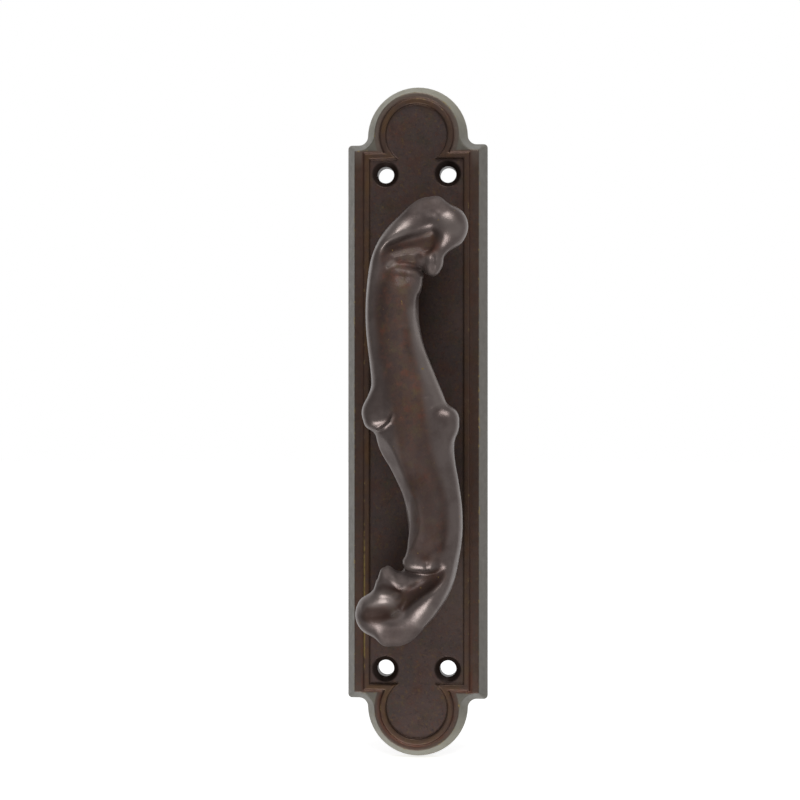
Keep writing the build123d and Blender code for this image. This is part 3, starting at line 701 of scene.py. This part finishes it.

# %% [markdown]
# ## Where the handle is rubbed, where it keeps its brown, and where light and shade are painted
# Hands polish what stands proud, and polish and dirt stay in what lies low. How much a point stands proud is
# read from the skin itself: the neighbours of a point on a crest lie below it, and those of a point in a
# groove lie above it. Four numbers are stored on the skin for the material: crest and painted highlight,
# hollow and painted shade, how much of the red-brown ground shows, which is most on the front of the stem and
# in the hollows under the hoods, and how matt the skin is, because the edges at the far ends and the nooks
# are never rubbed by a hand. The highlights painted in lie on the hood crests, the bulbs and the right facet
# of the upper stem, and the shade on the lower bulb; the brown on the stem's front and on the lower bulb also
# paints a darker reflection.

# %% How proud each point stands
spots = read(handle_mesh.vertices, "co", 3) / MM
facing = read(handle_mesh.vertex_normals, "vector", 3)
edges = read(handle_mesh.edges, "vertices", 2, int)
proud = (((spots - around_mean(spots, edges)) * facing).sum(1) / VOXEL**2)[:, None]
BLUR_ROUNDS = 12
for _ in range(BLUR_ROUNDS):
    proud = 0.4 * proud + 0.6 * around_mean(proud, edges)
proud = proud[:, 0]
print("crests up to", round(float(proud.max()), 2), "and hollows to", round(float(proud.min()), 2), "per mm")

# %% Painted lines
# x and z in mm; brown and matt lines also say within how many mm they are full and where they end
STEM_LINE = [(-3.4, 50.0), (-4.6, 45.0), (-5.8, 40.0), (-6.0, 33.0), (-4.8, 22.0), (-1.6, 10.0), (0, 0),
             (1.4, -10.0), (5.0, -22.0), (6.0, -33.0), (5.4, -39.0)]
# the third brown line darkens the middle of the lower bulb, a painted dark reflection of the room in front
BROWN_LINES = [([(-6.6, 51.0), (-3.0, 53.0), (2.0, 54.2), (5.6, 55.6)], 2.4, 4.4),
               ([(8.4, -48.6), (4.4, -51.6), (0.4, -53.8), (-3.0, -57.0)], 1.8, 3.4),
               ([(-13.2, -60.4), (-9.6, -60.0), (-6.2, -59.6)], 1.5, 3.2)]
MATT_LINES = [([(-7.0, -68.2), (-4.0, -68.8), (0.6, -67.4)], 2.2, 4.8),
              ([(-8.0, -46.4), (-6.4, -48.4)], 1.0, 2.4),
              ([(-3.6, -49.4), (-0.6, -50.2)], 1.2, 2.8), ([(-5.2, -61.2), (-4.2, -60.6)], 0.8, 2.6),
              ([(-5.2, -55.0), (-4.6, -55.2)], 0.6, 1.8), ([(1.0, 69.0), (6.4, 69.6)], 2.0, 4.4),
              ([(2.2, 51.4), (2.8, 50.2)], 0.8, 2.0), ([(6.2, 48.2), (6.4, 47.2)], 0.6, 1.8),
              ([(8.6, 67.8), (10.0, 67.0)], 1.0, 2.6)]
# painted shade: the first two dark lines lay the dark band across the lower bulb's middle and the shaded
# crescent above its lower highlight; the third darkens the dimple under the nub
DARK_LINES = [[(-13.4, -59.4), (-11.4, -59.6), (-9.4, -59.8)],
              [(-14.4, -61.2), (-13.0, -62.0), (-10.6, -61.8), (-7.4, -60.4)],
              [(-9.0, -52.4), (-6.6, -53.4), (-4.6, -54.0)]]
# painted highlights and a painted reflection: paler lines on the right facet of the upper stem, the top of
# the lower bulb, the two hood crests and the upper bulb, where the lamps' highlights lie
HIGHLIGHT_LINES = [[(9.4, 7.0), (5.4, 17.0), (3.0, 26.0), (1.6, 34.0)],
                [(-12.2, -56.0), (-9.0, -55.4), (-5.8, -55.8)],
                [(-5.6, 58.4), (-2.6, 61.2)], [(5.6, -59.6), (3.0, -62.6)], [(11.6, 62.8), (13.6, 60.4)]]
print("lines painted:", len(BROWN_LINES) + len(MATT_LINES) + len(DARK_LINES) + len(HIGHLIGHT_LINES) + 1)

# %% Crest and painted highlight, hollow and painted shade, brown ground and matt skin
def beside(line, full, none):
    """How much of a painted line each point takes: 1 within full mm of it and 0 from none mm on."""
    return ramp(-line_distance(spots, line)[0], -none, -full)


DARK_SHARE, HIGHLIGHT_SHARE = 0.85, 0.75
FULL_CREST, FULL_HOLLOW = 0.32, 0.22
# the stem's brown is kept to faces turned to the front, where it also paints a darker reflection
stem = beside(STEM_LINE, full=3.8, none=7.0) * ramp(-facing[:, 1], 0.1, 0.7)
brown = np.max([stem] + [beside(line, full, none) for line, full, none in BROWN_LINES], 0)
matte = np.max([beside(line, full, none) for line, full, none in MATT_LINES], 0)
# painted shade along the dark lines, added to the hollows
dark = sum(DARK_SHARE * beside(line, full=0.8, none=2.4) for line in DARK_LINES)
# share of painted highlight near each highlight line, added to the crests
rubbed = sum(HIGHLIGHT_SHARE * beside(line, full=1.2, none=3.4) for line in HIGHLIGHT_LINES)
stored = {
    "crest_and_highlight": np.clip(proud / FULL_CREST + rubbed, 0, 1),
    "hollow_and_shade": np.clip(-proud / FULL_HOLLOW + dark, 0, 1),
    "brown": brown,
    "matte": matte,
}
for name, values in stored.items():
    layer = handle_mesh.attributes.new(name, "FLOAT", "POINT")
    layer.data.foreach_set("value", values.astype(np.float32))
print({name: round(float(values.mean()), 3) for name, values in stored.items()})

# %% [markdown]
# ## Bronzed brass on the handle
# The handle is cast brass, browned with a chemical bath and waxed. The wax gives a soft sheen over a grey
# and violet brown, the ground shows redder where it is thick, and use rubs the crests paler; highlights and
# shade are also painted in along a few lines. So the shader is mostly metal with a thin coat, and noise at
# the size of casting skin and of patina clouds breaks the colour up.

# %% Handle patina: patterns
# each pattern: its size in mm, its detail and its roughness
HANDLE_PATTERNS = {"clouds": (9, 4.0, 0.6), "specks": (1.6, 3.0, 0.6), "grain": (0.5, 2.0, 0.5),
                   "tints": (3.2, 4.0, 0.65)}
handle_patina = bpy.data.materials.new("bronzed_brass_handle")
tree = empty_tree(handle_patina)
place = add(tree, "TexCoord", {}).outputs["Object"]
crest_and_highlight, hollow_and_shade, brown_and_shade, matt = (add(tree, "Attribute", {}, attribute_name=name).outputs["Fac"]
                               for name in ("crest_and_highlight", "hollow_and_shade", "brown", "matte"))
pattern = {}
for name, (size, detail, roughness) in HANDLE_PATTERNS.items():
    noise = {"Vector": place, "Scale": per_mm(size), "Detail": detail, "Roughness": roughness}
    pattern[name] = add(tree, "TexNoise", noise).outputs
clouds, specks, grain = (pattern[name][0] for name in ("clouds", "specks", "grain"))
tints = add(tree, "SeparateXYZ", {0: pattern["tints"]["Color"]}).outputs
print("patterns on the handle:", list(pattern))

# %% Handle patina: colours
cloudy = add(tree, "MapRange", {0: clouds, 1: 0.36, 2: 0.64}, interpolation_type="SMOOTHSTEP").outputs[0]
grey = add(tree, "Mix", {0: cloudy, 6: paint("#594d4a"), 7: paint("#675c59")}, data_type="RGBA").outputs[2]
red = add(tree, "Mix", {0: cloudy, 6: paint("#45312b"), 7: paint("#523c33")}, data_type="RGBA").outputs[2]
stains = [add(tree, "MapRange", {0: tint, 1: 0.50, 2: 0.68, 3: 0.0, 4: 0.65}).outputs[0] for tint in tints]
upright = add(tree, "SeparateXYZ", {0: place}).outputs["Z"]
lower = add(tree, "MapRange", {0: upright, 1: 8 * MM, 2: -14 * MM, 3: 0.0, 4: 0.45}).outputs[0]
for share, code in zip([*stains, lower], ("#6b3f30", "#57492f", "#372a2d", "#35241f")):
    red = add(tree, "Mix", {0: share, 6: red, 7: paint(code)}, data_type="RGBA").outputs[2]
thick = add(tree, "MapRange", {0: clouds, 1: 0.3, 2: 0.62, 3: 0.55, 4: 1.0}).outputs[0]
browned = add(tree, "Math", {0: brown_and_shade, 1: thick}, operation="MULTIPLY").outputs[0]
colour = add(tree, "Mix", {0: browned, 6: grey, 7: red}, data_type="RGBA").outputs[2]
# paler on crests where hands rub and along the painted highlights, dark brown in hollows and in the painted
# shade, and brassy flecks
rub = add(tree, "Math", {0: crest_and_highlight, 1: 0.45}, operation="MULTIPLY").outputs[0]
fleck = add(tree, "MapRange", {0: specks, 1: 0.70, 2: 0.76}).outputs[0]
for share, code in ((hollow_and_shade, "#35221b"), (rub, "#8f8580"), (fleck, "#86703f")):
    colour = add(tree, "Mix", {0: share, 6: colour, 7: paint(code)}, data_type="RGBA").outputs[2]
print("colours of the handle mixed by", len(tree.nodes), "nodes so far")

# %% Handle patina: surface
polish = add(tree, "MapRange", {0: specks, 1: 0.3, 2: 0.7, 3: 0.30, 4: 0.40}).outputs[0]
rough = add(tree, "Math", {0: browned, 1: 0.32, 2: polish}, operation="MULTIPLY_ADD").outputs[0]
rough = add(tree, "Math", {0: matt, 1: 0.34, 2: rough}, operation="MULTIPLY_ADD").outputs[0]
coat = add(tree, "MapRange", {0: matt, 3: 0.15, 4: 0.0}).outputs[0]
relief = add(tree, "Math", {0: grain, 1: specks}, operation="ADD").outputs[0]
bump = add(tree, "Bump", {"Strength": 0.45, "Distance": 0.05 * MM, "Height": relief}).outputs[0]
metal = add(tree, "BsdfPrincipled", {"Base Color": colour, "Metallic": 0.75, "Roughness": rough,
                                     "Normal": bump, "Coat Weight": coat, "Coat Roughness": 0.22})
add(tree, "OutputMaterial", {"Surface": metal.outputs[0]})
dress(handle_mesh, handle_patina)
print("material", handle_patina.name, "with", len(tree.nodes), "nodes")

# %% [markdown]
# ## Bronzed brass on the plate
# The plate is the same brass, but it is touched less, so its brown is darker and drier. On its arrises the
# brown is worn through to yellow brass, most of all on the left bead near the bottom. The material finds
# these places from the plate's own sizes: the distance in from the outline and from the bead's outer side,
# each the larger of a distance to the upright sides and one to the domed ends.

# %% Plate patina: where a point lies
plate_mesh = nodes["escutcheon_plate"].data
plate_side, _, plate_top = (read(plate_mesh.vertices, "co", 3).max(0) / MM).tolist()
DOME_RADIUS = 16.5
SCREW_X, SCREW_Z = 10.2, 80.7
# each outline: half its width, the height of its shoulders and the radius of its domes, in mm
OUTLINES = {"edge": (plate_side, 91.1, DOME_RADIUS), "bead": (17.4, 87.7, 12.1)}
plate_patina = bpy.data.materials.new("bronzed_brass_plate")
tree = empty_tree(plate_patina)
place = add(tree, "TexCoord", {}).outputs["Object"]
in_mm = add(tree, "VectorMath", {0: place, "Scale": 1 / MM}, operation="SCALE").outputs[0]
x, y, z = add(tree, "SeparateXYZ", {0: in_mm}).outputs
wide = add(tree, "Math", {0: x}, operation="ABSOLUTE").outputs[0]
tall = add(tree, "Math", {0: z}, operation="ABSOLUTE").outputs[0]
folded = add(tree, "CombineXYZ", {0: wide, 2: tall}).outputs[0]
dome_middle = (0, 0, plate_top - DOME_RADIUS)
reach = add(tree, "VectorMath", {0: folded, 1: dome_middle}, operation="DISTANCE").outputs["Value"]
screw = add(tree, "VectorMath", {0: folded, 1: (SCREW_X, 0, SCREW_Z)}, operation="DISTANCE").outputs["Value"]
insets = {}
for name, (side, shoulder, dome) in OUTLINES.items():
    from_side = add(tree, "Math", {0: side, 1: wide}, operation="SUBTRACT").outputs[0]
    from_shoulder = add(tree, "Math", {0: shoulder, 1: tall}, operation="SUBTRACT").outputs[0]
    from_dome = add(tree, "Math", {0: dome, 1: reach}, operation="SUBTRACT").outputs[0]
    upright = add(tree, "Math", {0: from_side, 1: from_shoulder}, operation="MINIMUM").outputs[0]
    insets[name] = add(tree, "Math", {0: upright, 1: from_dome}, operation="MAXIMUM").outputs[0]
edge, bead = insets["edge"], insets["bead"]
print("plate", 2 * round(plate_side, 2), "mm wide and", 2 * round(plate_top, 2), "mm tall")

# %% Plate patina: clouded brown
PLATE_PATTERNS = {"clouds": (14, 5.0, 0.6), "tints": (6, 3.0, 0.5), "specks": (2.2, 4.0, 0.65),
                  "grain": (0.6, 2.0, 0.5), "flecks": (1.3, 3.0, 0.7)}
pattern = {}
for name, (size, detail, roughness) in PLATE_PATTERNS.items():
    noise = {"Vector": place, "Scale": per_mm(size), "Detail": detail, "Roughness": roughness}
    pattern[name] = add(tree, "TexNoise", noise).outputs
clouds, specks, grain = (pattern[name][0] for name in ("clouds", "specks", "grain"))
tint_r, tint_g, tint_b = add(tree, "SeparateXYZ", {0: pattern["tints"]["Color"]}).outputs
fleck_r, fleck_g, fleck_b = add(tree, "SeparateXYZ", {0: pattern["flecks"]["Color"]}).outputs
cloudy = add(tree, "MapRange", {0: clouds, 1: 0.35, 2: 0.65}, interpolation_type="SMOOTHSTEP").outputs[0]
colour = add(tree, "Mix", {0: cloudy, 6: paint("#423634"), 7: paint("#4a3a36")}, data_type="RGBA").outputs[2]
# olive and ruddy clouds, then brassy, red and dark flecks: pattern, where it starts, its share and its colour
for level, start, most, code in ((tint_r, 0.5, 0.55, "#3d3828"), (tint_g, 0.5, 0.6, "#4c3026"),
                                 (fleck_r, 0.55, 0.6, "#5e4a2c"), (fleck_g, 0.55, 0.6, "#5a3120"),
                                 (fleck_b, 0.55, 0.6, "#2d2424")):
    share = add(tree, "MapRange", {0: level, 1: start, 2: 0.72, 3: 0.0, 4: most}).outputs[0]
    colour = add(tree, "Mix", {0: share, 6: colour, 7: paint(code)}, data_type="RGBA").outputs[2]
print("patterns on the plate:", list(pattern))

# %% Plate patina: masks
# each mask: the distance or place in mm that it looks at, where it starts and ends, and its values there
MASKS = {
    "rim": (bead, 3.2, 1.4, 0.0, 0.40),
    "ends": (tall, 82.0, 90.0, 0.0, 0.75),
    "mostly_upper": (z, -10.0, 10.0, 0.25, 1.0),
    "outside_bead": (bead, 0.0, -0.6, 0.0, 1.0),
    "front": (y, -0.2, -0.6, 0.0, 1.0),
    "bevel": (edge, 2.9, 2.5, 0.0, 1.0),
    "crowned": (tall, 88.0, 106.0, 0.0, 1.0),
    "lower_half": (z, -12.0, -38.0, 0.0, 1.0),
    "not_lowest": (z, -72.0, -52.0, 0.0, 1.0),
    "right": (x, -6.0, 10.0, 0.0, 0.45),
    "inside_bead": (bead, 1.2, 2.6, 0.0, 1.0),
    "bottom": (z, -66.0, -82.0, 0.28, 0.8),
    "leftward": (x, 14.0, -14.0, 0.35, 0.75),
    "sunk": (screw, 4.7, 4.1, 0.0, 1.0),
    "left": (x, -8.0, -15.0, 0.0, 1.0),
    "low": (z, -20.0, -50.0, 0.0, 1.0),
    "above_dome": (z, -84.0, -74.0, 0.0, 1.0),
}
PRODUCTS = {
    "pale": ("ends", "mostly_upper", "outside_bead"),
    "bevelled": ("bevel", "front"),
    # painted sheen: the field inside the bead is made paler on the right of its lower half
    "lower_right_sheen": ("lower_half", "not_lowest", "right", "inside_bead"),
    "low_left": ("left", "low", "above_dome"),
}
mask = {name: add(tree, "MapRange", dict(enumerate(row))).outputs[0] for name, row in MASKS.items()}
for name, (first, *others) in PRODUCTS.items():
    mask[name] = mask[first]
    for other in others:
        mask[name] = add(tree, "Math", {0: mask[name], 1: mask[other]}, operation="MULTIPLY").outputs[0]
print("masks", list(mask))

# %% Plate patina: rim, bevel, painted sheen and bead
# the bevel is paler metal, palest round the domes: worn metal and a painted reflection of the white room
bare = {0: mask["crowned"], 6: paint("#625e57"), 7: paint("#868270")}
bevel_wear_and_reflection = add(tree, "Mix", bare, data_type="RGBA").outputs[2]
for name, coat in (("rim", paint("#4a3628")), ("pale", paint("#685d55")), ("bevelled", bevel_wear_and_reflection),
                   ("lower_right_sheen", paint("#63544d"))):
    colour = add(tree, "Mix", {0: mask[name], 6: colour, 7: coat}, data_type="RGBA").outputs[2]
# each band on the bead: the inset of its middle and its half width in mm, the pattern that breaks it, its
# share and its colour
BANDS = ((-0.2, 1.1, tint_b, "bottom", "#4f2d1e"), (1.3, 1.3, tint_r, "leftward", "#563d24"))
for middle, half_width, level, most, code in BANDS:
    away = add(tree, "Math", {0: bead, 1: middle}, operation="SUBTRACT").outputs[0]
    away = add(tree, "Math", {0: away}, operation="ABSOLUTE").outputs[0]
    band = add(tree, "MapRange", {0: away, 1: half_width, 2: 0.2}, interpolation_type="SMOOTHSTEP").outputs[0]
    patchy = add(tree, "MapRange", {0: level, 1: 0.38, 2: 0.60, 3: 0.1, 4: mask[most]}).outputs[0]
    for other in (patchy, mask["front"]):
        band = add(tree, "Math", {0: band, 1: other}, operation="MULTIPLY").outputs[0]
    colour = add(tree, "Mix", {0: band, 6: colour, 7: paint(code)}, data_type="RGBA").outputs[2]
colour = add(tree, "Mix", {0: mask["sunk"], 6: colour, 7: paint("#2b1d17")}, data_type="RGBA").outputs[2]
print("colours of the plate mixed by", len(tree.nodes), "nodes so far")

# %% Plate patina: worn arrises
more = add(tree, "Math", {0: mask["low_left"], 1: 0.24, 2: specks}, operation="MULTIPLY_ADD").outputs[0]
# each arris: its inset in mm, the pattern that breaks the wear, where that starts and ends, and its share
ARRISES = ((edge, 2.6, specks, 0.56, 0.66, 1.0), (bead, 0.35, more, 0.60, 0.76, 0.75))
WEAR_END, WEAR_FULL = 0.40, 0.12
worn = []
for inset, middle, level, start, stop, most in ARRISES:
    away = add(tree, "Math", {0: inset, 1: middle}, operation="SUBTRACT").outputs[0]
    away = add(tree, "Math", {0: away}, operation="ABSOLUTE").outputs[0]
    line = add(tree, "MapRange", {0: away, 1: WEAR_END, 2: WEAR_FULL}).outputs[0]
    broken = add(tree, "MapRange", {0: level, 1: start, 2: stop, 3: 0.0, 4: most}).outputs[0]
    worn.append(add(tree, "Math", {0: line, 1: broken}, operation="MULTIPLY").outputs[0])
wear = add(tree, "Math", {0: worn[0], 1: worn[1]}, operation="MAXIMUM").outputs[0]
wear = add(tree, "Math", {0: wear, 1: mask["front"]}, operation="MULTIPLY").outputs[0]
colour = add(tree, "Mix", {0: wear, 6: colour, 7: paint("#8c7844")}, data_type="RGBA").outputs[2]
print(len(worn), "worn arrises")

# %% Plate patina: surface
# the Bevel node softens the arrises to the eye, as a casting's are, and leaves the CAD mesh as it is
ARRIS_RADIUS = 0.7
shine = add(tree, "MapRange", {0: specks, 1: 0.3, 2: 0.7, 3: 0.36, 4: 0.52}).outputs[0]
relief = add(tree, "Math", {0: grain, 1: specks}, operation="ADD").outputs[0]
rounded = add(tree, "Bevel", {"Radius": ARRIS_RADIUS * MM}, samples=8).outputs[0]
bump = add(tree, "Bump", {"Strength": 0.35, "Distance": 0.06 * MM, "Height": relief,
                          "Normal": rounded}).outputs[0]
metal = add(tree, "BsdfPrincipled", {"Base Color": colour, "Metallic": 0.7, "Roughness": shine,
                                     "Normal": bump, "Coat Weight": 0.15, "Coat Roughness": 0.3})
add(tree, "OutputMaterial", {"Surface": metal.outputs[0]})
dress(plate_mesh, plate_patina)
print("material", plate_patina.name, "with", len(tree.nodes), "nodes")

# %% [markdown]
# ## Steel of the gear
# The gear case is rolled and milled steel, left bare and oiled, so it is a grey metal with fine lines along
# its length and cloudy stains. The spindle and the drive pins are turned or drawn from darker stock, black
# with oxide, and the tips of the pins are bright where they were chamfered last.

# %% Bright steel and dark steel
# each steel: the dark and the light of its drawn lines, and its stains
STEELS = {
    "bare_rolled_steel": ("#77726d", "#918c86", "#5c5650"),
    "oxide_dark_steel": ("#38352f", "#4a463f", "#2b2723"),
}
TIP_START, TIP_FULL = 35.5 * MM, 35.9 * MM
steels = {}
for name, (low_code, high_code, stain_code) in STEELS.items():
    steels[name] = bpy.data.materials.new(name)
    tree = empty_tree(steels[name])
    place = add(tree, "TexCoord", {}).outputs["Object"]
    drawn = add(tree, "Mapping", {"Vector": place, "Scale": (1.0, 1.0, 0.06)}).outputs[0]
    brushed = add(tree, "TexNoise", {"Vector": drawn, "Scale": per_mm(0.9), "Detail": 3.0}).outputs[0]
    cloud = {"Vector": place, "Scale": per_mm(8), "Detail": 5.0, "Roughness": 0.6}
    stains = add(tree, "TexNoise", cloud).outputs[0]
    blot = add(tree, "MapRange", {0: stains, 1: 0.44, 2: 0.70, 3: 0.0, 4: 0.6}).outputs[0]
    lines = {0: brushed, 6: paint(low_code), 7: paint(high_code)}
    colour = add(tree, "Mix", lines, data_type="RGBA").outputs[2]
    colour = add(tree, "Mix", {0: blot, 6: colour, 7: paint(stain_code)}, data_type="RGBA").outputs[2]
    if name == "oxide_dark_steel":
        deep = add(tree, "SeparateXYZ", {0: place}).outputs["Y"]
        tip = add(tree, "MapRange", {0: deep, 1: TIP_START, 2: TIP_FULL}).outputs[0]
        colour = add(tree, "Mix", {0: tip, 6: colour, 7: paint("#9a958e")}, data_type="RGBA").outputs[2]
    rough = add(tree, "MapRange", {0: stains, 1: 0.3, 2: 0.7, 3: 0.30, 4: 0.50}).outputs[0]
    bump = add(tree, "Bump", {"Strength": 0.25, "Distance": 0.02 * MM, "Height": brushed}).outputs[0]
    metal = add(tree, "BsdfPrincipled", {"Base Color": colour, "Metallic": 0.9, "Roughness": rough,
                                         "Normal": bump})
    add(tree, "OutputMaterial", {"Surface": metal.outputs[0]})
print("materials", list(steels))

# %% Steel on its pieces
BRASS = ("handle", "escutcheon_plate")
DARK = ("retaining_ring", "spindle", "upper_drive_pin", "lower_drive_pin")
for name, node in nodes.items():
    if name not in BRASS:
        dress(node.data, steels["oxide_dark_steel" if name in DARK else "bare_rolled_steel"])
print("steel on", len(nodes) - len(BRASS), "nodes")
